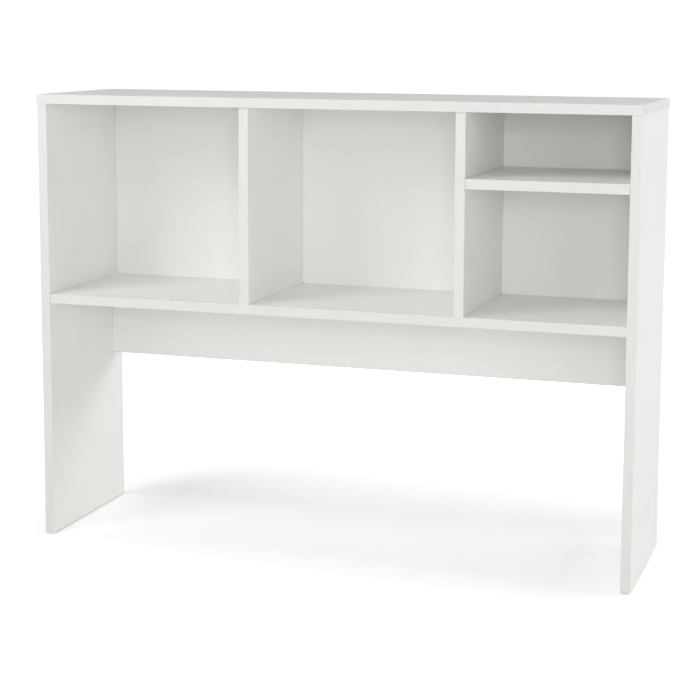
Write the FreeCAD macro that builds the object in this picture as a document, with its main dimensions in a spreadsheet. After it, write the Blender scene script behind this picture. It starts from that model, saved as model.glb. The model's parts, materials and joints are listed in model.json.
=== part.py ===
"""Desk hutch: a low white bookcase that stands on the back of a desk.

Every board, edge band and fastener is its own sub-part. All outlines are drawn in one working
frame, whose origin is the front left corner of the floor rectangle under the top panel: x runs
to the right, y to the back and z up. Each sub-part's Placement then moves that corner, so that
the origin ends up on the floor under the middle of the hutch.
"""

import FreeCAD, Part

import os
import re

import Sketcher

Vector = FreeCAD.Vector

# Driving dimensions in millimetres
SIZES = {
    "overall_width": 1010,
    "overall_depth": 278,
    "overall_height": 755,
    "board": 16,  # thickness of every melamine-faced board
    "band": 1,  # thickness of the edge bands
    "band_round": 0.5,  # radius worked along a band's outer edges
    "top_proud": 1,  # how far the top stands past the sides
    "glide_lift": 2.5,  # gap that the glides leave under the sides
    "bay_width": 344,  # clear width of the left and the middle bay
    "shelf_level": 403,  # underside of the lower shelf
    "short_level": 620,  # underside of the short shelf
    "shelf_setback": 2,  # shelves and dividers behind the sides' front edges
    "short_gap": 0.5,  # play at each end of the short shelf
    "short_back_gap": 2,  # play behind the short shelf
    "rail_drop": 125,  # height of the rear rail
    "rail_inset": 24,  # rail's rear face in front of the hutch's rear edge
    "back_thick": 3,
    "back_inset": 14,  # back panel's rear face in front of the hutch's rear edge
    "back_in_groove": 4,
    "groove_depth": 5,
    "groove_play": 0.2,
    "hole_play": 0.2,  # how much wider a hole is than what goes in it
    "screw_long": 50,
    "screw_core": 6.4,
    "screw_head": 10,
    "screw_head_high": 3,
    "screw_sink": 1,  # screw head below the face of the board
    "socket_wide": 4,
    "socket_deep": 2.5,
    "tip_high": 5,
    "cap_wide": 13,
    "cap_high": 0.8,
    "cap_edge": 0.5,
    "cap_stem_wide": 3.6,
    "dowel_wide": 8,
    "dowel_long": 30,
    "dowel_in_face": 10,  # part of a dowel that sits in the face of a board
    "dowel_chamfer": 1,
    "cam_wide": 15,
    "cam_high": 12.5,
    "cam_reach": 34,  # from the end of a board to the middle of a cam
    "cam_slot": 2,
    "cam_slot_deep": 3,
    "bolt_thread": 6,
    "bolt_tip": 1,
    "bolt_in_face": 11,
    "bolt_neck": 4,
    "bolt_head": 6.4,
    "bolt_head_high": 3,
    "bolt_bore": 8,
    "pin_wide": 5,
    "pin_in_face": 8,
    "pin_free": 10,  # length of a pin outside the board
    "pin_flat": 1,  # flat on the pin's free length above its axis
    "tack_wide": 3,
    "tack_long": 16,
    "tack_head": 6.4,
    "tack_head_high": 2,
    "tack_tip": 3,
    "glide_inset": 30,  # from the hutch's front and rear to the middle of a glide
    "glide_wide": 12,
    "glide_chamfer": 1,
    "glide_nail_wide": 2,
    "glide_nail_long": 12,
    "near_front": 50,  # fasteners nearest the front edge
    "near_back": 225,  # fasteners nearest the rear edge
    "half_way": 137,  # dowels between two screws or cams
    "rail_fix_low": 30,  # lower rail cam above the rail's underside
    "rail_fix_high": 90,
    "tack_edge": 40,  # first and last back-panel screw from the bay's floor and ceiling
}

# Places in the working frame, written as sums of the driving dimensions
LEFT_INNER = "(top_proud + board)"
RIGHT_INNER = "(overall_width - top_proud - board)"
LEFT_DIVIDER = "(top_proud + board + bay_width)"
RIGHT_DIVIDER = "(top_proud + 2 * board + 2 * bay_width)"
RIGHT_BAY = "(top_proud + 3 * board + 2 * bay_width)"
TOP_UNDER = "(overall_height - board)"
SHELF_TOP = "(shelf_level + board)"
SHELF_FRONT = "(top_proud + shelf_setback)"
BACK_FRONT = "(overall_depth - back_inset - back_thick)"
BACK_REAR = "(overall_depth - back_inset)"
RAIL_FRONT = "(overall_depth - rail_inset - board)"
RAIL_REAR = "(overall_depth - rail_inset)"
RAIL_UNDER = "(shelf_level - rail_drop)"
UPRIGHTS = ("top_proud", LEFT_DIVIDER, RIGHT_DIVIDER, RIGHT_INNER)  # left face of each upright
DIVIDERS = (LEFT_DIVIDER, RIGHT_DIVIDER)
SCREW_LINES = ("near_front", "near_back")
RAIL_LINES = ("rail_fix_low", "rail_fix_high")

# The positive axis of each origin plane, and whether the plane's own normal points along it
PLANE_AXIS = {"XY_Plane": (2, True), "YZ_Plane": (0, True), "XZ_Plane": (1, False)}

doc = FreeCAD.newDocument("desk_hutch")
sheet = doc.addObject("Spreadsheet::Sheet", "sizes")
for row, (alias, value) in enumerate(SIZES.items(), start=1):
    sheet.set(f"A{row}", alias.replace("_", " "))
    sheet.set(f"B{row}", str(value))
    sheet.setAlias(f"B{row}", alias)
doc.recompute()

nodes = []


def bound(text):
    """Turns a sum of driving dimensions into an expression that refers to the sheet."""
    return re.sub(r"[a-z][a-z_]*", lambda word: "sizes." + word.group(), text)


def number(text):
    """Gives the value that a sum of driving dimensions has now."""
    values = re.sub(r"[a-z][a-z_]*", lambda word: str(sheet.get(word.group())), text)
    return FreeCAD.Units.Quantity(values).Value


def place(item):
    """Moves the working frame's corner, so that the origin is on the floor under the middle."""
    item.setExpression("Placement.Base.x", bound("-overall_width / 2"))
    item.setExpression("Placement.Base.y", bound("-overall_depth / 2"))


def new_body(name):
    body = doc.addObject("PartDesign::Body", name)
    body.Label = name
    return body


def new_sketch(body, name, role, level):
    """Starts a sketch parallel to an origin plane, level away from it along the positive axis."""
    _, along = PLANE_AXIS[role]
    sketch = body.newObject("Sketcher::SketchObject", name)
    plane = next(item for item in body.Origin.OriginFeatures if item.Role == role)
    sketch.AttachmentSupport = [(plane, "")]
    sketch.MapMode = "FlatFace"
    sketch.setExpression("AttachmentOffset.Base.z", bound(level if along else f"-({level})"))
    return sketch


def dimension(sketch, kind, name, where, text):
    """Adds one dimension to a sketch and binds it to the sheet."""
    index = sketch.addConstraint(Sketcher.Constraint(kind, *where, number(text)))
    sketch.renameConstraint(index, name)
    sketch.setExpression(f"Constraints.{name}", bound(text))


def locate(sketch, index, point, across, up):
    """Dimensions one point of a curve from the sketch's origin; "0" puts it on an axis."""
    if across == "0":
        sketch.addConstraint(Sketcher.Constraint("PointOnObject", index, point, -2))
    else:
        dimension(sketch, "DistanceX", f"across{index}", (-1, 1, index, point), across)
    if up == "0":
        sketch.addConstraint(Sketcher.Constraint("PointOnObject", index, point, -1))
    else:
        dimension(sketch, "DistanceY", f"up{index}", (-1, 1, index, point), up)


def draw_outline(sketch, corners):
    """Draws a closed outline through corners, each a pair of sums."""
    points = [Vector(number(across), number(up), 0) for across, up in corners]
    count = len(points)
    for index, point in enumerate(points):
        sketch.addGeometry(Part.LineSegment(point, points[(index + 1) % count]), False)
    for index, (across, up) in enumerate(corners):
        last = (index - 1) % count
        sketch.addConstraint(Sketcher.Constraint("Coincident", last, 2, index, 1))
        locate(sketch, index, 1, across, up)


def rectangle(low, high):
    """Gives the corners of a rectangle from its lowest and its highest corner."""
    return [low, (high[0], low[1]), high, (low[0], high[1])]


def make_board(name, role, low, high, level, thick):
    """Makes a flat piece as a pad: an outline from low to high, thick along the positive axis."""
    _, along = PLANE_AXIS[role]
    body = new_body(name)
    outline = new_sketch(body, f"{name}_outline", role, level)
    draw_outline(outline, rectangle(low, high))
    pad = body.newObject("PartDesign::Pad", f"{name}_pad")
    pad.Profile = outline
    pad.Reversed = not along
    pad.setExpression("Length", bound(thick))
    doc.recompute()
    place(body)
    nodes.append(body)
    return body


def cut_out(body, sketch, role, depth, forward):
    """Pockets a sketch into a body, towards the positive axis when forward is true."""
    _, along = PLANE_AXIS[role]
    before = body.Shape.Volume
    pocket = body.newObject("PartDesign::Pocket", f"{sketch.Name}_pocket")
    pocket.Profile = sketch
    pocket.Reversed = forward == along
    pocket.setExpression("Length", bound(depth))
    doc.recompute()
    if body.Shape.Volume >= before:
        raise RuntimeError(f"{pocket.Name} removed nothing")


def cut_slot(body, name, role, low, high, level, depth, forward):
    """Mills a rectangular slot or groove."""
    sketch = new_sketch(body, name, role, level)
    draw_outline(sketch, rectangle(low, high))
    cut_out(body, sketch, role, depth, forward)


def drill(body, name, role, level, spots, wide, depth, forward):
    """Drills one hole at each spot, from the plane at level, towards the positive axis if forward."""
    sketch = new_sketch(body, name, role, level)
    for index, (across, up) in enumerate(spots):
        centre = Vector(number(across), number(up), 0)
        sketch.addGeometry(Part.Circle(centre, Vector(0, 0, 1), number(wide) / 2), False)
        dimension(sketch, "Diameter", f"wide{index}", (index,), wide)
        locate(sketch, index, 3, across, up)
    cut_out(body, sketch, role, depth, forward)


def turned(name, corners):
    """Makes a turned piece about the vertical axis from its half outline, standing on z = 0."""
    body = new_body(name)
    outline = new_sketch(body, f"{name}_outline", "XZ_Plane", "0")
    draw_outline(outline, corners)
    revolution = body.newObject("PartDesign::Revolution", f"{name}_revolution")
    revolution.Profile = outline
    revolution.ReferenceAxis = (outline, ["V_Axis"])
    revolution.Angle = FULL_TURN
    doc.recompute()
    return body


def copies(master, spots, direction):
    """Copies a master piece to each spot, with the master's own +Z turned to direction."""
    turn = FreeCAD.Rotation(Vector(0, 0, 1), Vector(*direction))
    shapes = []
    for spot in spots:
        shape = master.Shape.copy()
        shape.Placement = FreeCAD.Placement(Vector(*(number(text) for text in spot)), turn)
        shapes.append(shape)
    return shapes


def add_group(name, shapes):
    """Adds a node of separate, identical solids."""
    group = doc.addObject("Part::Feature", name)
    group.Label = name
    group.Shape = Part.makeCompound(shapes)
    place(group)
    nodes.append(group)


def round_outer_edges(body, outward):
    """Rounds the long edges on a band's outer face."""
    way = Vector(*outward)
    base = body.Tip
    reach = max(vertex.Point.dot(way) for vertex in base.Shape.Vertexes)
    longest = max(edge.Length for edge in base.Shape.Edges)
    names = []
    for index, edge in enumerate(base.Shape.Edges, start=1):
        depths = [reach - vertex.Point.dot(way) for vertex in edge.Vertexes]
        if max(depths) < Part.Precision.confusion() and edge.Length > longest / 2:
            names.append(f"Edge{index}")
    fillet = body.newObject("PartDesign::Fillet", f"{body.Name}_round")
    fillet.Base = (base, names)
    fillet.setExpression("Radius", bound("band_round"))
    doc.recompute()


def make_band(name, role, low, high, level, thick, outward):
    """Makes an edge band; outward is the way that its outer face looks."""
    band = make_board(name, role, low, high, level, thick)
    round_outer_edges(band, outward)
    return band


def middle(left):
    """Middle of the upright board whose left face is at left."""
    return f"{left} + board / 2"


def plus(one, other):
    return f"{one} + {other}"


QUARTER_TURN = 90
HALF_TURN = 180
FULL_TURN = 360

LEFT = (-1, 0, 0)
RIGHT = (1, 0, 0)
FRONT = (0, -1, 0)
REAR = (0, 1, 0)
DOWN = (0, 0, -1)
UP = (0, 0, 1)

SHELF_MIDDLE = "(shelf_level + board / 2)"
RAIL_MIDDLE = "(overall_depth - rail_inset - board / 2)"
PIN_LEVEL = "short_level - pin_flat"
BACK_LEFT = "(top_proud + board - back_in_groove)"
BACK_RIGHT = "(overall_width - top_proud - board + back_in_groove)"
GROOVE_REAR = "overall_depth - back_inset + groove_play"
GLIDE_LINES = ("glide_inset", "overall_depth - glide_inset")
RAIL_DOWEL_PLACES = [f"overall_width * {quarter} / 4" for quarter in (1, 2, 3)]
SHELF_TACK_PLACES = [f"overall_width * {fifth} / 5" for fifth in (1, 2, 3, 4)]
DIVIDER_TACK_LEVELS = (
    plus(SHELF_TOP, "tack_edge"),
    f"({SHELF_TOP} + {TOP_UNDER}) / 2",
    f"{TOP_UNDER} - tack_edge",
)
# Every back-panel screw: across and up, on the back panel's face
TACK_SPOTS = [(across, SHELF_MIDDLE) for across in SHELF_TACK_PLACES] + [
    (middle(divider), level) for divider in DIVIDERS for level in DIVIDER_TACK_LEVELS
]

SCREW_HOLE = "screw_core + hole_play"
SCREW_HEAD_HOLE = "screw_head + hole_play"
DOWEL_HOLE = "dowel_wide + hole_play"
DOWEL_FACE_DEPTH = "dowel_in_face + hole_play"
DOWEL_EDGE_DEPTH = "dowel_long - dowel_in_face + hole_play"
TACK_HOLE = "tack_wide + hole_play"
CAM_PLACES = (plus(LEFT_INNER, "cam_reach"), f"{RIGHT_INNER} - cam_reach")
CAM_HOLE = "cam_wide + hole_play"
CAM_DEPTH = "cam_high + hole_play"
SCREW_EDGE_DEPTH = "screw_sink + screw_long - board + hole_play"
TACK_EDGE_DEPTH = "tack_long - back_thick + hole_play"


def make_top():
    """Top panel with a band on all four edges."""
    low, high = ("band", "band"), ("overall_width - band", "overall_depth - band")
    top = make_board("top_panel", "XY_Plane", low, high, TOP_UNDER, "board")
    spots = [(middle(left), line) for left in UPRIGHTS for line in SCREW_LINES]
    sink = "screw_head_high + screw_sink"
    drill(top, "top_screw_holes", "XY_Plane", "overall_height", spots, SCREW_HOLE, "board", False)
    drill(top, "top_head_holes", "XY_Plane", "overall_height", spots, SCREW_HEAD_HOLE, sink, False)
    spots = [(middle(left), "half_way") for left in UPRIGHTS]
    drill(top, "top_dowel_holes", "XY_Plane", TOP_UNDER, spots, DOWEL_HOLE, DOWEL_FACE_DEPTH, True)
    low, high = (BACK_LEFT, BACK_FRONT), (BACK_RIGHT, GROOVE_REAR)
    cut_slot(top, "top_groove", "XY_Plane", low, high, TOP_UNDER, "groove_depth", True)
    edges = {
        "top_front_band": (("0", "0"), ("overall_width", "band"), FRONT),
        "top_rear_band": (("0", "overall_depth - band"), ("overall_width", "overall_depth"), REAR),
        "top_left_band": (("0", "band"), ("band", "overall_depth - band"), LEFT),
        "top_right_band": (
            ("overall_width - band", "band"),
            ("overall_width", "overall_depth - band"),
            RIGHT,
        ),
    }
    for name, (low, high, outward) in edges.items():
        make_band(name, "XY_Plane", low, high, TOP_UNDER, "board", outward)


def drill_upright_top(board, left):
    """Holes in an upright's top edge for the two screws and the dowel that hold the top on."""
    name = board.Name
    spots = [(middle(left), line) for line in SCREW_LINES]
    drill(board, f"{name}_top_screw", "XY_Plane", TOP_UNDER, spots, SCREW_HOLE, SCREW_EDGE_DEPTH, False)
    spots = [(middle(left), "half_way")]
    drill(board, f"{name}_top_dowel", "XY_Plane", TOP_UNDER, spots, DOWEL_HOLE, DOWEL_EDGE_DEPTH, False)


def make_side(name, left, inner, forward):
    """Full-height side; inner is its inner face, and forward is true where drills enter it rightwards."""
    low, high = ("top_proud + band", "glide_lift + band"), ("overall_depth - band", TOP_UNDER)
    side = make_board(name, "YZ_Plane", low, high, left, "board")
    drill_upright_top(side, left)
    bolts = [(line, SHELF_MIDDLE) for line in SCREW_LINES]
    bolts += [(RAIL_MIDDLE, plus(RAIL_UNDER, line)) for line in RAIL_LINES]
    bolt_hole, bolt_depth = "bolt_thread + hole_play", "bolt_in_face + hole_play"
    drill(side, f"{name}_bolts", "YZ_Plane", inner, bolts, bolt_hole, bolt_depth, forward)
    dowel = [("half_way", SHELF_MIDDLE)]
    drill(side, f"{name}_dowel", "YZ_Plane", inner, dowel, DOWEL_HOLE, DOWEL_FACE_DEPTH, forward)
    low, high = (BACK_FRONT, "shelf_level"), (GROOVE_REAR, TOP_UNDER)
    cut_slot(side, f"{name}_groove", "YZ_Plane", low, high, inner, "groove_depth", forward)
    nails = [(middle(left), line) for line in GLIDE_LINES]
    nail_hole, nail_depth = "glide_nail_wide + hole_play", "glide_nail_long - band + hole_play"
    bottom = "glide_lift + band"
    drill(side, f"{name}_nails", "XY_Plane", bottom, nails, nail_hole, nail_depth, True)
    foot, front, rear = "glide_lift", "top_proud + band", "overall_depth - band"
    edges = {
        "front": (("top_proud", foot), (front, TOP_UNDER), FRONT),
        "rear": ((rear, foot), ("overall_depth", TOP_UNDER), REAR),
        "bottom": ((front, foot), (rear, bottom), DOWN),
    }
    for edge, (low, high, way) in edges.items():
        band = make_band(f"{name}_{edge}_band", "YZ_Plane", low, high, left, "board", way)
    drill(band, f"{name}_band_nails", "XY_Plane", foot, nails, nail_hole, "band", True)
    return side


def make_lower_shelf():
    """Long shelf between the sides, which carries the dividers."""
    low, high = (LEFT_INNER, plus(SHELF_FRONT, "band")), (RIGHT_INNER, BACK_FRONT)
    shelf = make_board("lower_shelf", "XY_Plane", low, high, "shelf_level", "board")
    bolts = [(line, SHELF_MIDDLE) for line in SCREW_LINES]
    dowel = [("half_way", SHELF_MIDDLE)]
    for end, face, forward in (("left", LEFT_INNER, True), ("right", RIGHT_INNER, False)):
        drill(shelf, f"shelf_{end}_bores", "YZ_Plane", face, bolts, "bolt_bore", "cam_reach", forward)
        drill(shelf, f"shelf_{end}_dowel", "YZ_Plane", face, dowel, DOWEL_HOLE, DOWEL_EDGE_DEPTH, forward)
    cams = [(across, line) for across in CAM_PLACES for line in SCREW_LINES]
    drill(shelf, "shelf_cam_holes", "XY_Plane", "shelf_level", cams, CAM_HOLE, CAM_DEPTH, True)
    screws = [(middle(divider), line) for divider in DIVIDERS for line in SCREW_LINES]
    sink = "screw_head_high + screw_sink"
    drill(shelf, "shelf_screw_holes", "XY_Plane", "shelf_level", screws, SCREW_HOLE, "board", True)
    drill(shelf, "shelf_head_holes", "XY_Plane", "shelf_level", screws, SCREW_HEAD_HOLE, sink, True)
    dowels = [(middle(divider), "half_way") for divider in DIVIDERS]
    drill(shelf, "shelf_divider_dowels", "XY_Plane", SHELF_TOP, dowels, DOWEL_HOLE, DOWEL_FACE_DEPTH, False)
    dowels = [(across, RAIL_MIDDLE) for across in RAIL_DOWEL_PLACES]
    drill(shelf, "shelf_rail_dowels", "XY_Plane", "shelf_level", dowels, DOWEL_HOLE, DOWEL_FACE_DEPTH, True)
    tacks = [(across, SHELF_MIDDLE) for across in SHELF_TACK_PLACES]
    drill(shelf, "shelf_tack_holes", "XZ_Plane", BACK_FRONT, tacks, TACK_HOLE, TACK_EDGE_DEPTH, False)
    low, high = (LEFT_INNER, SHELF_FRONT), (RIGHT_INNER, plus(SHELF_FRONT, "band"))
    make_band("lower_shelf_band", "XY_Plane", low, high, "shelf_level", "board", FRONT)


def make_divider(name, left):
    """Upright between two bays, from the lower shelf to the top."""
    low, high = (plus(SHELF_FRONT, "band"), SHELF_TOP), (BACK_FRONT, TOP_UNDER)
    divider = make_board(name, "YZ_Plane", low, high, left, "board")
    drill_upright_top(divider, left)
    spots = [(middle(left), line) for line in SCREW_LINES]
    drill(divider, f"{name}_foot_screw", "XY_Plane", SHELF_TOP, spots, SCREW_HOLE, SCREW_EDGE_DEPTH, True)
    spots = [(middle(left), "half_way")]
    drill(divider, f"{name}_foot_dowel", "XY_Plane", SHELF_TOP, spots, DOWEL_HOLE, DOWEL_EDGE_DEPTH, True)
    tacks = [(middle(left), level) for level in DIVIDER_TACK_LEVELS]
    drill(divider, f"{name}_tacks", "XZ_Plane", BACK_FRONT, tacks, TACK_HOLE, TACK_EDGE_DEPTH, False)
    low, high = (SHELF_FRONT, SHELF_TOP), (plus(SHELF_FRONT, "band"), TOP_UNDER)
    make_band(f"{name}_band", "YZ_Plane", low, high, left, "board", FRONT)
    return divider


def drill_pin_holes(board, face, forward):
    """Holes for the two pins that carry one end of the short shelf."""
    spots = [(line, PIN_LEVEL) for line in SCREW_LINES]
    wide, deep = "pin_wide + hole_play", "pin_in_face + hole_play"
    drill(board, f"{board.Name}_pins", "YZ_Plane", face, spots, wide, deep, forward)


def make_short_shelf():
    """Loose shelf in the right bay."""
    left, right = plus(RIGHT_BAY, "short_gap"), f"{RIGHT_INNER} - short_gap"
    core_front, rear = plus(SHELF_FRONT, "band"), f"{BACK_FRONT} - short_back_gap"
    make_board("short_shelf", "XY_Plane", (left, core_front), (right, rear), "short_level", "board")
    low, high = (left, SHELF_FRONT), (right, core_front)
    make_band("short_shelf_band", "XY_Plane", low, high, "short_level", "board", FRONT)


def make_rail():
    """Rear rail under the lower shelf, which keeps the hutch square."""
    low, high = (LEFT_INNER, plus(RAIL_UNDER, "band")), (RIGHT_INNER, "shelf_level")
    rail = make_board("rear_rail", "XZ_Plane", low, high, RAIL_FRONT, "board")
    bolts = [(RAIL_MIDDLE, plus(RAIL_UNDER, line)) for line in RAIL_LINES]
    for end, face, forward in (("left", LEFT_INNER, True), ("right", RIGHT_INNER, False)):
        drill(rail, f"rail_{end}_bores", "YZ_Plane", face, bolts, "bolt_bore", "cam_reach", forward)
    cams = [(across, plus(RAIL_UNDER, line)) for across in CAM_PLACES for line in RAIL_LINES]
    drill(rail, "rail_cam_holes", "XZ_Plane", RAIL_REAR, cams, CAM_HOLE, CAM_DEPTH, False)
    dowels = [(across, RAIL_MIDDLE) for across in RAIL_DOWEL_PLACES]
    drill(rail, "rail_dowel_holes", "XY_Plane", "shelf_level", dowels, DOWEL_HOLE, DOWEL_EDGE_DEPTH, False)
    low, high = (LEFT_INNER, RAIL_UNDER), (RIGHT_INNER, plus(RAIL_UNDER, "band"))
    make_band("rear_rail_band", "XZ_Plane", low, high, RAIL_FRONT, "board", DOWN)


def make_back():
    """Thin back panel, which slides into the grooves before the top goes on."""
    low, high = (BACK_LEFT, "shelf_level"), (BACK_RIGHT, plus(TOP_UNDER, "back_in_groove"))
    back = make_board("back_panel", "XZ_Plane", low, high, BACK_FRONT, "back_thick")
    drill(back, "back_tack_holes", "XZ_Plane", BACK_FRONT, TACK_SPOTS, TACK_HOLE, "back_thick", True)


def add_screws():
    """Screws that hold the uprights to the top and the dividers to the lower shelf, and their caps."""
    master = turned("screw_master", [
        ("0", "0"),
        ("screw_core / 2", "tip_high"),
        ("screw_core / 2", "screw_long - screw_head_high"),
        ("screw_head / 2", "screw_long - screw_head_high"),
        ("screw_head / 2", "screw_long"),
        ("socket_wide / 2", "screw_long"),
        ("socket_wide / 2", "screw_long - socket_deep"),
        ("0", "screw_long - socket_deep"),
    ])
    tip = "overall_height - screw_sink - screw_long"
    spots = [(middle(left), line, tip) for left in UPRIGHTS for line in SCREW_LINES]
    add_group("top_screws", copies(master, spots, UP))
    tip = "shelf_level + screw_sink + screw_long"
    spots = [(middle(divider), line, tip) for divider in DIVIDERS for line in SCREW_LINES]
    add_group("divider_screws", copies(master, spots, DOWN))

    stem = "screw_sink + socket_deep / 2"
    master = turned("cap_master", [
        ("0", "0"),
        ("cap_stem_wide / 2", "0"),
        ("cap_stem_wide / 2", stem),
        ("cap_wide / 2", stem),
        ("cap_wide / 2", plus(stem, "cap_high - cap_edge")),
        ("cap_wide / 2 - cap_edge", plus(stem, "cap_high")),
        ("0", plus(stem, "cap_high")),
    ])
    foot = f"overall_height - ({stem})"
    spots = [(middle(left), line, foot) for left in UPRIGHTS for line in SCREW_LINES]
    add_group("top_screw_caps", copies(master, spots, UP))


def add_dowels():
    """Wooden dowels in the joints between boards."""
    master = turned("dowel_master", [
        ("0", "0"),
        ("dowel_wide / 2 - dowel_chamfer", "0"),
        ("dowel_wide / 2", "dowel_chamfer"),
        ("dowel_wide / 2", "dowel_long - dowel_chamfer"),
        ("dowel_wide / 2 - dowel_chamfer", "dowel_long"),
        ("0", "dowel_long"),
    ])
    foot = f"{TOP_UNDER} + dowel_in_face - dowel_long"
    spots = [(middle(left), "half_way", foot) for left in UPRIGHTS]
    add_group("top_dowels", copies(master, spots, UP))
    spots = [(middle(divider), "half_way", f"{SHELF_TOP} - dowel_in_face") for divider in DIVIDERS]
    add_group("divider_dowels", copies(master, spots, UP))
    foot = "shelf_level + dowel_in_face - dowel_long"
    spots = [(across, RAIL_MIDDLE, foot) for across in RAIL_DOWEL_PLACES]
    add_group("rail_dowels", copies(master, spots, UP))
    ends = copies(master, [(f"{LEFT_INNER} - dowel_in_face", "half_way", SHELF_MIDDLE)], RIGHT)
    ends += copies(master, [(plus(RIGHT_INNER, "dowel_in_face"), "half_way", SHELF_MIDDLE)], LEFT)
    add_group("shelf_dowels", ends)


def make_cam():
    """Round cam with a bore across it for the bolt's head and a cross slot in its outer face."""
    outline = rectangle(("0", "0"), ("cam_wide / 2", "cam_high"))
    cam = turned("cam_master", outline)
    bore = [("0", "board / 2")]
    drill(cam, "cam_bore", "YZ_Plane", "-cam_wide", bore, "bolt_bore", "2 * cam_wide", True)
    half_slot, half_cross = "cam_slot / 2", "cam_wide / 3"
    for name, wide, high in (("across", half_cross, half_slot), ("along", half_slot, half_cross)):
        low = (f"-{wide}", f"-{high}")
        cut_slot(cam, f"cam_slot_{name}", "XY_Plane", low, (wide, high), "0", "cam_slot_deep", True)
    return cam


def add_cams():
    """Cams in the lower shelf and the rail, and the bolts in the sides that they pull on."""
    cam = make_cam()
    spots = [(across, line, "shelf_level") for across in CAM_PLACES for line in SCREW_LINES]
    add_group("shelf_cams", copies(cam, spots, UP))
    spots = [(across, RAIL_REAR, plus(RAIL_UNDER, line)) for across in CAM_PLACES for line in RAIL_LINES]
    add_group("rail_cams", copies(cam, spots, FRONT))

    neck_end = "bolt_in_face + cam_reach - bolt_head_high"
    bolt = turned("bolt_master", [
        ("0", "0"),
        ("bolt_neck / 2", "0"),
        ("bolt_thread / 2", "bolt_tip"),
        ("bolt_thread / 2", "bolt_in_face"),
        ("bolt_neck / 2", "bolt_in_face"),
        ("bolt_neck / 2", neck_end),
        ("bolt_head / 2", neck_end),
        ("bolt_head / 2", "bolt_in_face + cam_reach"),
        ("0", "bolt_in_face + cam_reach"),
    ])
    ends = ((f"{LEFT_INNER} - bolt_in_face", RIGHT), (plus(RIGHT_INNER, "bolt_in_face"), LEFT))
    shelf_bolts, rail_bolts = [], []
    for start, direction in ends:
        spots = [(start, line, SHELF_MIDDLE) for line in SCREW_LINES]
        shelf_bolts += copies(bolt, spots, direction)
        spots = [(start, RAIL_MIDDLE, plus(RAIL_UNDER, line)) for line in RAIL_LINES]
        rail_bolts += copies(bolt, spots, direction)
    add_group("shelf_cam_bolts", shelf_bolts)
    add_group("rail_cam_bolts", rail_bolts)


def add_back_screws():
    """Small pan-head screws that hold the back panel to the lower shelf and the dividers."""
    head_top = "tack_long + tack_head_high"
    master = turned("tack_master", [
        ("0", "0"),
        ("tack_wide / 2", "tack_tip"),
        ("tack_wide / 2", "tack_long"),
        ("tack_head / 2", "tack_long"),
        ("tack_head / 2", "tack_long + tack_head_high / 2"),
        ("tack_head / 4", head_top),
        ("0", head_top),
    ])
    spots = [(across, f"{BACK_REAR} - tack_long", up) for across, up in TACK_SPOTS]
    add_group("back_panel_screws", copies(master, spots, REAR))


def make_pin():
    """Round pin along +Z with a flat on its free length, on the side that looks along +X."""
    whole = "pin_in_face + pin_free"
    pin = turned("pin_master", rectangle(("0", "0"), ("pin_wide / 2", whole)))
    low, high = ("-pin_wide", "pin_in_face"), ("pin_wide", whole)
    cut_slot(pin, "pin_flat_cut", "YZ_Plane", low, high, "pin_flat", "pin_wide", True)
    return pin


def add_pins():
    """Four pins under the short shelf, flats upwards."""
    pin = make_pin()
    leftwards = FreeCAD.Rotation(Vector(0, 1, 0), -QUARTER_TURN)
    rightwards = FreeCAD.Rotation(Vector(0, 0, 1), HALF_TURN) * leftwards
    ends = {
        plus(RIGHT_INNER, "pin_in_face"): leftwards,
        f"{RIGHT_BAY} - pin_in_face": rightwards,
    }
    shapes = []
    for start, turn in ends.items():
        for line in SCREW_LINES:
            shape = pin.Shape.copy()
            spot = Vector(number(start), number(line), number(PIN_LEVEL))
            shape.Placement = FreeCAD.Placement(spot, turn)
            shapes.append(shape)
    add_group("shelf_pins", shapes)


def add_glides():
    """Plastic glides nailed under the sides."""
    top = "glide_lift + glide_nail_long"
    master = turned("glide_master", [
        ("0", "0"),
        ("glide_wide / 2 - glide_chamfer", "0"),
        ("glide_wide / 2", "glide_chamfer"),
        ("glide_wide / 2", "glide_lift"),
        ("glide_nail_wide / 2", "glide_lift"),
        ("glide_nail_wide / 2", top),
        ("0", top),
    ])
    sides = (middle(UPRIGHTS[0]), middle(UPRIGHTS[-1]))
    add_group("glides", copies(master, [(side, line, "0") for side in sides for line in GLIDE_LINES], UP))


def check(items):
    """Stops if an object failed or a sub-part has no valid solid."""
    for item in doc.Objects:
        if {"Invalid", "Error"} & set(item.State):
            raise RuntimeError(f"{item.Name} failed: {item.State}")
    for item in items:
        if item.Shape.isNull() or not item.Shape.isValid() or not item.Shape.Solids:
            raise RuntimeError(f"{item.Label} has no valid solid")


def write(items):
    os.makedirs("parts", exist_ok=True)
    for item in items:
        item.Shape.exportStep(f"parts/{item.Label}.step")
        print(item.Label, len(item.Shape.Solids), round(item.Shape.Volume / 1000, 2), "cm3")


make_top()
make_side("left_side", UPRIGHTS[0], LEFT_INNER, False)
right_side = make_side("right_side", RIGHT_INNER, RIGHT_INNER, True)
drill_pin_holes(right_side, RIGHT_INNER, True)
make_lower_shelf()
make_divider("left_divider", LEFT_DIVIDER)
right_divider = make_divider("right_divider", RIGHT_DIVIDER)
drill_pin_holes(right_divider, RIGHT_BAY, False)
make_short_shelf()
make_rail()
make_back()
add_screws()
add_dowels()
add_cams()
add_back_screws()
add_pins()
add_glides()
doc.recompute()
check(nodes)
write(nodes)
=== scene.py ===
"""Looks of the white desk hutch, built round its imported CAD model.

The CAD nodes keep their shapes and get procedural materials. The screw caps on the top and the
back-panel screws are replaced by finer pieces. Lengths are in metres.
"""

import json
import math
import random

import bmesh
import bpy
from mathutils import Euler, Matrix, Quaternion, Vector


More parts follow.
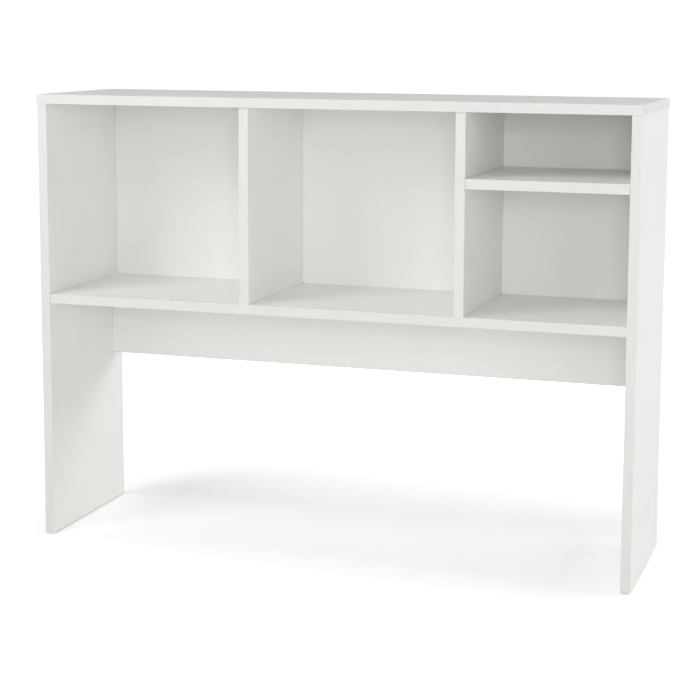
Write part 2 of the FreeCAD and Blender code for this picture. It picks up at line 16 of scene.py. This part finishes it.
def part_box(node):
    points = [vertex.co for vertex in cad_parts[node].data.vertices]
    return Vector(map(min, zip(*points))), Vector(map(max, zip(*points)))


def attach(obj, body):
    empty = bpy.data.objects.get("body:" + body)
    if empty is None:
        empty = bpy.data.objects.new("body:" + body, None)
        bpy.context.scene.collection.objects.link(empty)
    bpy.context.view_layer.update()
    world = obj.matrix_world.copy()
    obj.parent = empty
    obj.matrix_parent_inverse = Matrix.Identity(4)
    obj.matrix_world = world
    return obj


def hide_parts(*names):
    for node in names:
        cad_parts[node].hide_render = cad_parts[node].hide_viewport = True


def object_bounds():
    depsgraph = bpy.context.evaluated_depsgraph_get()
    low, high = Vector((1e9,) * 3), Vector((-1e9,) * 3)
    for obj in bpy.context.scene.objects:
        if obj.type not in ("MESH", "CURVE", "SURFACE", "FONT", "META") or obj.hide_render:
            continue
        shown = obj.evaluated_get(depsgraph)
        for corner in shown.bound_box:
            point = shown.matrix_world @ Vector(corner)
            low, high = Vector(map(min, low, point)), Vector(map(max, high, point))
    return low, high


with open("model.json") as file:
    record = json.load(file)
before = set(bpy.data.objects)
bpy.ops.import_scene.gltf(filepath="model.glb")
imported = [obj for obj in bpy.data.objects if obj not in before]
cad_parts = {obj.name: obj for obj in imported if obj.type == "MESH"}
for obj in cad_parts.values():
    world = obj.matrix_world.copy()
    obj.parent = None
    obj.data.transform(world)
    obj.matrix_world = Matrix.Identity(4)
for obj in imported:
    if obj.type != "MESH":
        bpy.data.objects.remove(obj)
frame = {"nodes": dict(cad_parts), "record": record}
CAD_LOW, CAD_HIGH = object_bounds()
SLOTS = {part["node"]: part["material_slot"] for part in frame["record"]["subparts"]}

MM = 0.001
SEED = 7

# Camera: lens and sensor in millimetres, shift as a share of the frame, angles in degrees
LENS = 89.0
SENSOR = 36.0
SHIFT = -0.125
CAMERA_PLACE = (0.898, -2.724, 0.867)
TURN = 18.23
PITCH = -7.73
ROLL = 0.24

# Soft boxes: name, place, width, height and power in watts
SOFT_BOXES = (
    ("near_left", (-1.2, -1.4, 1.9), 1.0, 1.0, 12),
    ("left", (-1.8, -2.4, 1.4), 1.6, 1.6, 16),
    ("front_high", (0.2, -2.2, 2.1), 1.4, 1.4, 7.5),
    ("front", (0.95, -2.9, 0.95), 0.7, 0.7, 16.5),
    ("front_right", (2.3, -2.3, 0.9), 1.5, 1.5, 14),
    ("right", (2.7, 1.1, 1.2), 1.8, 1.8, 27),
    ("rear", (1.3, 2.8, 2.1), 2.2, 1.6, 22),
)
# Strength of the sky as a lamp, and as the lens sees it
SKY_LIGHT = 0.36
SKY_SEEN = 1.1

# Floor: its width, and its painted glow, which rises from near to far over the shade's width. The
# weaker glow near the hutch is a painted shadow. It starts at the hutch's footprint, moved back and
# drawn in from the sides
FLOOR_WIDE = 40
SHADE_BACK = 0.05
SHADE_INSET = 0.12
SHADE_WIDE = 0.50
GLOW_NEAR = 0.22
GLOW_FAR = 0.76

# Colours in linear light
MELAMINE_WHITE = (0.905, 0.900, 0.882)
MELAMINE_SHADE = (0.888, 0.883, 0.864)
LACQUER_WHITE = (0.900, 0.896, 0.880)
# Darker copies of the white for the edge bands: painted shade on all but their left and right faces
BAND_PAINTED_SHADE_LIGHT = (0.730, 0.723, 0.707)
BAND_PAINTED_SHADE_DARK = (0.716, 0.709, 0.692)
FIBRE_PALE = (0.70, 0.67, 0.62)
FIBRE_DARK = (0.56, 0.53, 0.47)
CHIP_LIGHT = (0.62, 0.46, 0.28)
CHIP_DARK = (0.33, 0.21, 0.11)
BEECH_LIGHT = (0.62, 0.43, 0.25)
BEECH_DARK = (0.42, 0.25, 0.13)
STEEL_LIGHT = (0.72, 0.72, 0.74)
STEEL_DARK = (0.58, 0.58, 0.60)
ZINC_LIGHT = (0.62, 0.62, 0.63)
ZINC_DARK = (0.50, 0.50, 0.51)
CAP_WHITE = (0.83, 0.83, 0.81)
CAP_SHADE = (0.80, 0.80, 0.78)
GLIDE_GREY = (0.50, 0.50, 0.48)
GLIDE_SHADE = (0.45, 0.45, 0.43)
# Colour of the painted shade in the joints between boards
JOINT_SHADOW_COLOUR = (0.22, 0.21, 0.20)
FLOOR_WHITE = (0.80, 0.80, 0.80)
FLOOR_SHADE = (0.79, 0.79, 0.785)

# Painted shade in the joints between boards: reach of that shade, the occlusion it spans, its darkest
# share, its rays
JOINT_REACH = 4 * MM
JOINT_OPEN = 0.68
JOINT_SHUT = 0.45
JOINT_SHADE = 0.30
JOINT_RAYS = 4

# Stretch of a noise over which a colour or a roughness goes from one end to the other
CRISP = (0.4, 0.6)
NARROW = (0.35, 0.65)
WIDE = (0.3, 0.7)
# Roughness at the two ends of a finish's noise
MELAMINE_ROUGHNESS = (0.48, 0.56)
BAND_ROUGHNESS = (0.34, 0.41)
CAP_ROUGHNESS = (0.36, 0.44)
GLIDE_ROUGHNESS = (0.45, 0.53)
ZINC_ROUGHNESS = (0.38, 0.53)
STEEL_ROUGHNESS = (0.28, 0.43)
BEECH_ROUGHNESS = (0.66, 0.56)
# Roughness that is even, and what a board's cut edges add to theirs
FIBRE_ROUGHNESS = 0.78
LACQUER_ROUGHNESS = 0.50
PAPER_ROUGHNESS = 0.9
CUT_ROUGHER = 0.35
# Strength of the white finishes' shine, and refractive indices
SATIN = 0.3
WHITE_IOR = 1.5
PLASTIC_IOR = 1.48
# Least part of the normal along an axis on a face across that axis
FACE_ON = 0.7

# Turned fittings: weld distance, corner that stays sharp in degrees, steps round, stem of a cap
WELD = 1e-6
SHARP_CORNER = 35
TURN_STEPS = 48
STEM_RADIUS = 1.8 * MM
# Cross recess: foot of its taper, its reach and width as shares of the radius, depth of the rise
RECESS_TAPER = 0.55
RECESS_REACH = 1.15
RECESS_WIDE = 0.26
RECESS_DEEP = 0.7
# A screw's shank as a share of its head's radius, and its point as a share of that
SHANK_SHARE = 0.47
POINT_SHARE = 2.0
# Low dome of a cap or a pan head: its lip's share of the rise, power of its round, points along it
LIP_SHARE = 0.3
DOME_POWER = 2 / 3
DOME_STEPS = 8

UPRIGHTS = ("left_side", "right_side", "left_divider", "right_divider")
LEVEL_BOARDS = ("top_panel", "lower_shelf", "short_shelf")


def middle(low, high):
    """Gives the middle of a box."""
    return (low + high) / 2


class Graph:
    """A material's node tree with short calls for the nodes used here."""

    def __init__(self, name):
        self.material = bpy.data.materials.new(name)
        self.material.use_nodes = True
        self.nodes = self.material.node_tree.nodes
        self.links = self.material.node_tree.links
        self.shader = self.nodes["Principled BSDF"]

    def add(self, kind, inputs=None, **settings):
        """Adds a node with its settings, and its inputs by name or number."""
        node = self.nodes.new(kind)
        for name, value in settings.items():
            setattr(node, name, value)
        for name, value in (inputs or {}).items():
            self.feed(node.inputs[name], value)
        return node

    def feed(self, socket, value):
        """Links an output, or sets a number or colour, on a socket."""
        if isinstance(value, bpy.types.NodeSocket):
            self.links.new(value, socket)
        elif isinstance(value, tuple) and len(value) == 3 and socket.type == "RGBA":
            socket.default_value = (*value, 1)
        else:
            socket.default_value = value

    def set(self, **inputs):
        """Sets inputs of the Principled shader; an underscore stands for a space."""
        for name, value in inputs.items():
            self.feed(self.shader.inputs[name.replace("_", " ")], value)

    def place(self, factors=(1, 1, 1)):
        """Object coordinates in metres times factors; a factor under 1 makes a pattern longer."""
        coordinates = self.add("ShaderNodeTexCoord").outputs["Object"]
        mapping = self.add("ShaderNodeMapping", {"Vector": coordinates, "Scale": factors})
        return mapping.outputs["Vector"]

    def noise(self, size, detail=2.0, place=None, roughness=0.5, distortion=0.0):
        """Noise whose features are about size metres across, from 0 to 1."""
        inputs = {"Scale": 1 / size, "Detail": detail, "Roughness": roughness, "Distortion": distortion}
        inputs["Vector"] = place or self.place()
        return self.add("ShaderNodeTexNoise", inputs).outputs["Fac"]

    def ramp(self, value, spread, ends=(0.0, 1.0)):
        """Rescales value, clamped, so that the two ends of spread become the two ends given."""
        inputs = {"Value": value, "From Min": spread[0], "From Max": spread[1]}
        inputs |= {"To Min": ends[0], "To Max": ends[1]}
        return self.add("ShaderNodeMapRange", inputs).outputs["Result"]

    def mix(self, share, first, second):
        """Mixes two colours."""
        node = self.add("ShaderNodeMix", data_type="RGBA")
        colours = [socket for socket in node.inputs if socket.type == "RGBA"]
        self.feed(node.inputs["Factor"], share)
        self.feed(colours[0], first)
        self.feed(colours[1], second)
        return next(socket for socket in node.outputs if socket.type == "RGBA")

    def math(self, operation, *values):
        """Gives the result of a Math node."""
        return self.add("ShaderNodeMath", dict(enumerate(values)), operation=operation).outputs["Value"]

    def vector_math(self, operation, *vectors):
        """Gives the vector that a Vector Math node makes."""
        node = self.add("ShaderNodeVectorMath", dict(enumerate(vectors)), operation=operation)
        return node.outputs["Vector"]

    def length(self, vector):
        """Gives the length of a vector."""
        return self.add("ShaderNodeVectorMath", {0: vector}, operation="LENGTH").outputs["Value"]

    def bump(self, height, distance, strength=0.5, normal=None):
        """Bump of a height from 0 to 1, distance metres deep."""
        inputs = {"Height": height, "Distance": distance, "Strength": strength}
        if normal is not None:
            inputs["Normal"] = normal
        return self.add("ShaderNodeBump", inputs).outputs["Normal"]

    def painted_joint_shade(self, colour):
        """Paints shade a little into a colour in the narrow joints where two boards meet."""
        inputs = {"Distance": JOINT_REACH}
        # Painted shade: the more shut the ambient occlusion finds the joint, the darker the colour
        light = self.add("ShaderNodeAmbientOcclusion", inputs, samples=JOINT_RAYS).outputs["AO"]
        shade = self.ramp(light, (JOINT_SHUT, JOINT_OPEN), (JOINT_SHADE, 0.0))
        return self.mix(shade, colour, JOINT_SHADOW_COLOUR)

    def facing(self, axis):
        """The part of the surface's own normal along an axis, from -1 to 1."""
        normal = self.add("ShaderNodeNewGeometry").outputs["True Normal"]
        return self.add("ShaderNodeSeparateXYZ", {"Vector": normal}).outputs[axis]


def melamine(axis):
    """White melamine on chipboard. Faces across axis are white; the cut edges show the chips."""
    graph = Graph(f"melamine_{axis}")
    face = graph.math("GREATER_THAN", graph.math("ABSOLUTE", graph.facing(axis)), FACE_ON)
    cut = graph.math("SUBTRACT", 1.0, face)

    cloud = graph.ramp(graph.noise(size=120 * MM, detail=3.0), NARROW)
    white = graph.mix(cloud, MELAMINE_WHITE, MELAMINE_SHADE)
    chips = graph.noise(size=2.6 * MM, detail=3.0, roughness=0.62, distortion=0.8)
    chip_colour = graph.mix(graph.ramp(chips, CRISP), CHIP_DARK, CHIP_LIGHT)
    # Painted shade in the joints darkens the board's colour
    graph.set(Base_Color=graph.painted_joint_shade(graph.mix(face, chip_colour, white)))

    satin = graph.ramp(graph.noise(size=35 * MM), WIDE, MELAMINE_ROUGHNESS)
    graph.set(Roughness=graph.math("MULTIPLY_ADD", cut, CUT_ROUGHER, satin))

    wave = graph.bump(graph.noise(size=22 * MM, detail=1.0), distance=0.12 * MM)
    pearl = graph.bump(graph.noise(size=0.9 * MM), distance=0.03 * MM, normal=wave)
    raw = graph.math("MULTIPLY", chips, cut)
    graph.set(Normal=graph.bump(raw, distance=0.5 * MM, strength=1.0, normal=pearl))
    graph.set(IOR=WHITE_IOR, Specular_IOR_Level=SATIN)
    return graph.material


def edge_band():
    """White plastic edge band, smoother than the melamine, with painted shade that makes it greyer except
    at left and right.
    """
    graph = Graph("edge_band_white")
    # Painted shade: faces across X keep the white, and the other faces get the darker copy
    end = graph.math("GREATER_THAN", graph.math("ABSOLUTE", graph.facing("X")), FACE_ON)
    cloud = graph.ramp(graph.noise(size=60 * MM), NARROW)
    grey = graph.mix(cloud, BAND_PAINTED_SHADE_LIGHT, BAND_PAINTED_SHADE_DARK)
    white = graph.mix(cloud, MELAMINE_WHITE, MELAMINE_SHADE)
    # Painted shade in the joints darkens the band's colour
    graph.set(Base_Color=graph.painted_joint_shade(graph.mix(end, grey, white)))
    graph.set(Roughness=graph.ramp(graph.noise(size=18 * MM), WIDE, BAND_ROUGHNESS))
    roll = graph.bump(graph.noise(size=14 * MM, detail=1.0), distance=0.08 * MM)
    graph.set(Normal=graph.bump(graph.noise(size=0.7 * MM, detail=1.5), distance=0.02 * MM, normal=roll))
    graph.set(IOR=WHITE_IOR, Specular_IOR_Level=SATIN)
    return graph.material


def hardboard():
    """Thin fibreboard: white lacquer in the bays, pale bare fibre at the rear and on the edges."""
    graph = Graph("hardboard_white")
    lacquer = graph.math("LESS_THAN", graph.facing("Y"), -FACE_ON)
    cloud = graph.ramp(graph.noise(size=150 * MM), NARROW)
    white = graph.mix(cloud, LACQUER_WHITE, MELAMINE_SHADE)
    upright = graph.place(factors=(1, 1, 0.35))
    fibres = graph.noise(size=1.6 * MM, detail=4.0, place=upright, roughness=0.7, distortion=1.5)
    bare = graph.mix(graph.ramp(fibres, NARROW), FIBRE_DARK, FIBRE_PALE)
    # Painted shade in the joints darkens the panel's colour
    graph.set(Base_Color=graph.painted_joint_shade(graph.mix(lacquer, bare, white)))
    graph.set(Roughness=graph.ramp(lacquer, (0.0, 1.0), (FIBRE_ROUGHNESS, LACQUER_ROUGHNESS)))
    orange_peel = graph.bump(graph.noise(size=1.8 * MM, detail=1.0), distance=0.03 * MM)
    rough = graph.math("MULTIPLY", fibres, graph.math("SUBTRACT", 1.0, lacquer))
    graph.set(Normal=graph.bump(rough, distance=0.25 * MM, strength=0.8, normal=orange_peel))
    graph.set(IOR=WHITE_IOR, Specular_IOR_Level=SATIN)
    return graph.material


def moulded(name, colour, shade, roughness):
    """Injection-moulded plastic with a fine matt texture."""
    graph = Graph(name)
    graph.set(Base_Color=graph.mix(graph.ramp(graph.noise(size=9 * MM), WIDE), colour, shade))
    graph.set(Roughness=graph.ramp(graph.noise(size=3 * MM), WIDE, roughness))
    graph.set(Normal=graph.bump(graph.noise(size=0.4 * MM), distance=0.02 * MM), IOR=PLASTIC_IOR)
    return graph.material


def metal(name, light, dark, roughness, grain):
    """Plated or cast metal; grain is the size of its surface marks."""
    graph = Graph(name)
    marks = graph.noise(size=grain, detail=3.0)
    graph.set(Base_Color=graph.mix(graph.ramp(marks, WIDE), light, dark), Metallic=1.0)
    graph.set(Roughness=graph.ramp(marks, WIDE, roughness))
    graph.set(Normal=graph.bump(marks, distance=0.03 * MM))
    return graph.material


def beech():
    """Plain beech with fine upright grain."""
    graph = Graph("beech")
    upright = graph.place(factors=(1, 1, 0.12))
    grain = graph.noise(size=1.2 * MM, detail=3.0, place=upright, roughness=0.6, distortion=0.4)
    graph.set(Base_Color=graph.mix(graph.ramp(grain, WIDE), BEECH_DARK, BEECH_LIGHT))
    graph.set(Roughness=graph.ramp(grain, WIDE, BEECH_ROUGHNESS))
    graph.set(Normal=graph.bump(grain, distance=0.08 * MM))
    return graph.material


def floor_paper():
    """Matt white studio paper. Its painted glow, for the lens only, keeps it white beyond the soft
    shade, and is weaker over the hutch's footprint, which paints a shadow there.
    """
    graph = Graph("studio_paper")
    graph.set(Base_Color=graph.mix(graph.noise(size=300 * MM), FLOOR_WHITE, FLOOR_SHADE))
    graph.set(Roughness=PAPER_ROUGHNESS)
    # Painted shadow: the glow is least over the hutch's footprint and rises away from it
    centre = middle(CAD_LOW, CAD_HIGH) + Vector((0, SHADE_BACK, 0))
    half = (CAD_HIGH - CAD_LOW) / 2 - Vector((SHADE_INSET, 0, 0))
    beside = graph.vector_math("ABSOLUTE", graph.vector_math("SUBTRACT", graph.place(), tuple(centre)))
    past = graph.vector_math("SUBTRACT", beside, tuple(half))
    reach = graph.length(graph.vector_math("MAXIMUM", past, (0.0, 0.0, 0.0)))
    glow = graph.ramp(reach, (0.0, SHADE_WIDE), (GLOW_NEAR, GLOW_FAR))
    to_lens = graph.add("ShaderNodeLightPath").outputs["Is Camera Ray"]
    graph.set(Emission_Color=(1.0, 1.0, 1.0), Emission_Strength=graph.math("MULTIPLY", glow, to_lens))
    graph.set(Normal=graph.bump(graph.noise(size=2 * MM), distance=0.05 * MM))
    return graph.material


def make_finishes():
    """Makes the material of each slot that has only one."""
    return {
        "white_edge": edge_band(),
        "white_hardboard": hardboard(),
        "beech": beech(),
        "cap_plastic": moulded("cap_white", CAP_WHITE, CAP_SHADE, CAP_ROUGHNESS),
        "glide_plastic": moulded("glide_grey", GLIDE_GREY, GLIDE_SHADE, GLIDE_ROUGHNESS),
        "zinc": metal("cast_zinc", ZINC_LIGHT, ZINC_DARK, ZINC_ROUGHNESS, grain=1 * MM),
        "steel": metal("plated_steel", STEEL_LIGHT, STEEL_DARK, STEEL_ROUGHNESS, grain=2 * MM),
    }


def dress_nodes(finishes):
    """Gives every CAD node its material; a board's depends on which way the board lies."""
    upright, level, across = melamine("X"), melamine("Z"), melamine("Y")
    boards = dict.fromkeys(UPRIGHTS, upright) | dict.fromkeys(LEVEL_BOARDS, level)
    for node, slot in SLOTS.items():
        mesh = frame["nodes"][node].data
        mesh.materials.clear()
        mesh.materials.append(finishes.get(slot) or boards.get(node, across))


def light_area(name, place, width, height, power):
    """Adds a soft box that looks at the middle of the hutch."""
    lamp = bpy.data.lights.new(name, "AREA")
    lamp.shape = "RECTANGLE"
    lamp.size = width
    lamp.size_y = height
    lamp.energy = power
    box = bpy.data.objects.new(name, lamp)
    box.location = place
    look = middle(CAD_LOW, CAD_HIGH) - Vector(place)
    box.rotation_euler = look.to_track_quat("-Z", "Y").to_euler()
    bpy.context.scene.collection.objects.link(box)


def make_sky():
    """Makes an even pale sky that the lens sees as plain white."""
    world = bpy.data.worlds.new("studio")
    world.use_nodes = True
    nodes, links = world.node_tree.nodes, world.node_tree.links
    lit, seen = nodes["Background"], nodes.new("ShaderNodeBackground")
    mix = nodes.new("ShaderNodeMixShader")
    links.new(nodes.new("ShaderNodeLightPath").outputs["Is Camera Ray"], mix.inputs["Fac"])
    for socket, sky, strength in ((mix.inputs[1], lit, SKY_LIGHT), (mix.inputs[2], seen, SKY_SEEN)):
        sky.inputs["Color"].default_value = (1, 1, 1, 1)
        sky.inputs["Strength"].default_value = strength
        links.new(sky.outputs["Background"], socket)
    links.new(mix.outputs["Shader"], nodes["World Output"].inputs["Surface"])
    bpy.context.scene.world = world


def lay_floor():
    """Lays the wide white floor that the hutch stands on."""
    half = FLOOR_WIDE / 2
    mesh = bpy.data.meshes.new("studio_floor")
    corners = [(-half, -half, 0), (half, -half, 0), (half, half, 0), (-half, half, 0)]
    mesh.from_pydata(corners, [], [(0, 1, 2, 3)])
    mesh.materials.append(floor_paper())
    floor = bpy.data.objects.new("studio_floor", mesh)
    bpy.context.scene.collection.objects.link(floor)


def set_camera():
    """Sets the camera in front, to the right and a little above, aimed down at the hutch."""
    data = bpy.data.cameras.new("camera")
    data.sensor_width = SENSOR
    data.lens = LENS
    data.shift_y = SHIFT
    camera = bpy.data.objects.new("camera", data)
    camera.location = CAMERA_PLACE
    look = Euler((math.radians(90 + PITCH), 0, math.radians(TURN))).to_quaternion()
    camera.rotation_euler = (look @ Quaternion((0, 0, 1), math.radians(ROLL))).to_euler()
    bpy.context.scene.collection.objects.link(camera)
    bpy.context.scene.camera = camera


def solids(node):
    """Gives the lowest and highest corner of each separate solid of a CAD node."""
    shape = bmesh.new()
    shape.from_mesh(frame["nodes"][node].data)
    bmesh.ops.remove_doubles(shape, verts=shape.verts, dist=WELD)
    waiting, boxes = set(shape.verts), []
    while waiting:
        reached = [waiting.pop()]
        for vert in reached:
            near = {edge.other_vert(vert) for edge in vert.link_edges} & waiting
            waiting -= near
            reached.extend(near)
        low = Vector(min(vert.co[axis] for vert in reached) for axis in range(3))
        high = Vector(max(vert.co[axis] for vert in reached) for axis in range(3))
        boxes.append((low, high))
    shape.free()
    return sorted(boxes, key=lambda box: tuple(box[0]))


def to_mesh(shape, name):
    """Turns a bmesh into a mesh and frees it."""
    mesh = bpy.data.meshes.new(name)
    shape.to_mesh(mesh)
    shape.free()
    return mesh


def turned(name, outline):
    """Turned mesh about +Z from an outline of (radius, height) pairs that starts and ends on the axis."""
    shape = bmesh.new()
    rings = []
    for radius, height in outline:
        ring = []
        for step in range(TURN_STEPS if radius > 0 else 1):
            angle = 2 * math.pi * step / TURN_STEPS
            ring.append(shape.verts.new((radius * math.cos(angle), radius * math.sin(angle), height)))
        rings.append(ring)
    for lower, upper in zip(rings, rings[1:]):
        for step in range(TURN_STEPS):
            after = (step + 1) % TURN_STEPS
            corners = [lower[step % len(lower)], lower[after % len(lower)]]
            corners += [upper[after % len(upper)], upper[step % len(upper)]]
            shape.faces.new(list(dict.fromkeys(corners)))
    bmesh.ops.recalc_face_normals(shape, faces=shape.faces)
    return to_mesh(shape, name)


def smooth(mesh):
    """Shades the mesh smooth, except across its sharp corners."""
    mesh.polygons.foreach_set("use_smooth", [True] * len(mesh.polygons))
    mesh.set_sharp_from_angle(angle=math.radians(SHARP_CORNER))


def dome(radius, rise):
    """Half outline of a low dome: up its lip, then by a flattened round to its middle."""
    lip = rise * LIP_SHARE
    outline = [(radius, 0)]
    for step in range(DOME_STEPS):
        turn = math.pi / 2 * step / DOME_STEPS
        across, up = math.cos(turn) ** DOME_POWER, math.sin(turn) ** DOME_POWER
        outline.append((radius * across, lip + (rise - lip) * up))
    return [*outline, (0, rise)]


def tapered_bar(long, wide, top, depth):
    """Bar from depth under top to as much over it, narrower at its foot."""
    shape = bmesh.new()
    for vert in bmesh.ops.create_cube(shape, size=1)["verts"]:
        above = vert.co.z > 0
        share = 1 if above else RECESS_TAPER
        vert.co.x *= long * share
        vert.co.y *= wide * share
        vert.co.z = top + (depth if above else -depth)
    return to_mesh(shape, "bar")


def cut_cross(mesh, long, wide, top, depth):
    """Sinks a tapered cross recess into the top of a head and gives the new mesh."""
    bars = [tapered_bar(long, wide, top, depth), tapered_bar(wide, long, top, depth)]
    head, *cutters = [bpy.data.objects.new("recess", part) for part in (mesh, *bars)]
    for thing in (head, *cutters):
        bpy.context.scene.collection.objects.link(thing)
    for cutter in cutters:
        cut = head.modifiers.new("cut", "BOOLEAN")
        cut.operation = "DIFFERENCE"
        cut.solver = "EXACT"
        cut.object = cutter
    ready = head.evaluated_get(bpy.context.evaluated_depsgraph_get())
    result = bpy.data.meshes.new_from_object(ready)
    for thing in (head, *cutters):
        bpy.data.objects.remove(thing)
    return result


def add_piece(name, mesh, place, turn, node):
    """Adds a piece of the fixed carcass that stands for one solid of a CAD node."""
    piece = bpy.data.objects.new(name, mesh)
    piece.matrix_world = Matrix.Translation(place) @ turn.to_matrix().to_4x4()
    bpy.context.scene.collection.objects.link(piece)
    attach(piece, "carcass")
    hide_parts(node)


def add_caps(finishes):
    """Low domed caps over the screws in the top, each with a stem in the screw's socket."""
    boxes = solids("top_screw_caps")
    low, high = boxes[0]
    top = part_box("top_panel")[1].z
    radius, rise, stem = (high.x - low.x) / 2, high.z - top, low.z - top
    outline = [(0, stem), (STEM_RADIUS, stem), (STEM_RADIUS, 0)]
    mesh = turned("screw_cap", outline + dome(radius, rise))
    smooth(mesh)
    mesh.materials.append(finishes["cap_plastic"])
    for index, (low, high) in enumerate(boxes, start=1):
        place = middle(low, high)
        place.z = top
        add_piece(f"screw_cap_{index}", mesh, place, Quaternion(), "top_screw_caps")


def add_back_screws(finishes):
    """Pan-head screws with cross recesses, which hold the back panel."""
    boxes = solids("back_panel_screws")
    low, high = boxes[0]
    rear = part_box("back_panel")[1].y
    radius, rise, shank = (high.x - low.x) / 2, high.y - rear, rear - low.y
    core = radius * SHANK_SHARE
    outline = [(0, -shank), (core, core * POINT_SHARE - shank), (core, 0)]
    head = turned("back_screw", outline + dome(radius, rise))
    mesh = cut_cross(head, radius * RECESS_REACH, radius * RECESS_WIDE, rise, rise * RECESS_DEEP)
    smooth(mesh)
    mesh.materials.clear()
    mesh.materials.append(finishes["steel"])
    backwards = Vector((0, 0, 1)).rotation_difference(Vector((0, 1, 0)))
    spin = random.Random(SEED)
    for index, (low, high) in enumerate(boxes, start=1):
        place = middle(low, high)
        place.y = rear
        turn = backwards @ Quaternion((0, 0, 1), spin.uniform(0, math.pi / 2))
        add_piece(f"back_screw_{index}", mesh, place, turn, "back_panel_screws")


bpy.context.scene.view_settings.view_transform = "Standard"
set_camera()
make_sky()
for soft_box in SOFT_BOXES:
    light_area(*soft_box)
lay_floor()
slot_finishes = make_finishes()
dress_nodes(slot_finishes)
add_caps(slot_finishes)
add_back_screws(slot_finishes)
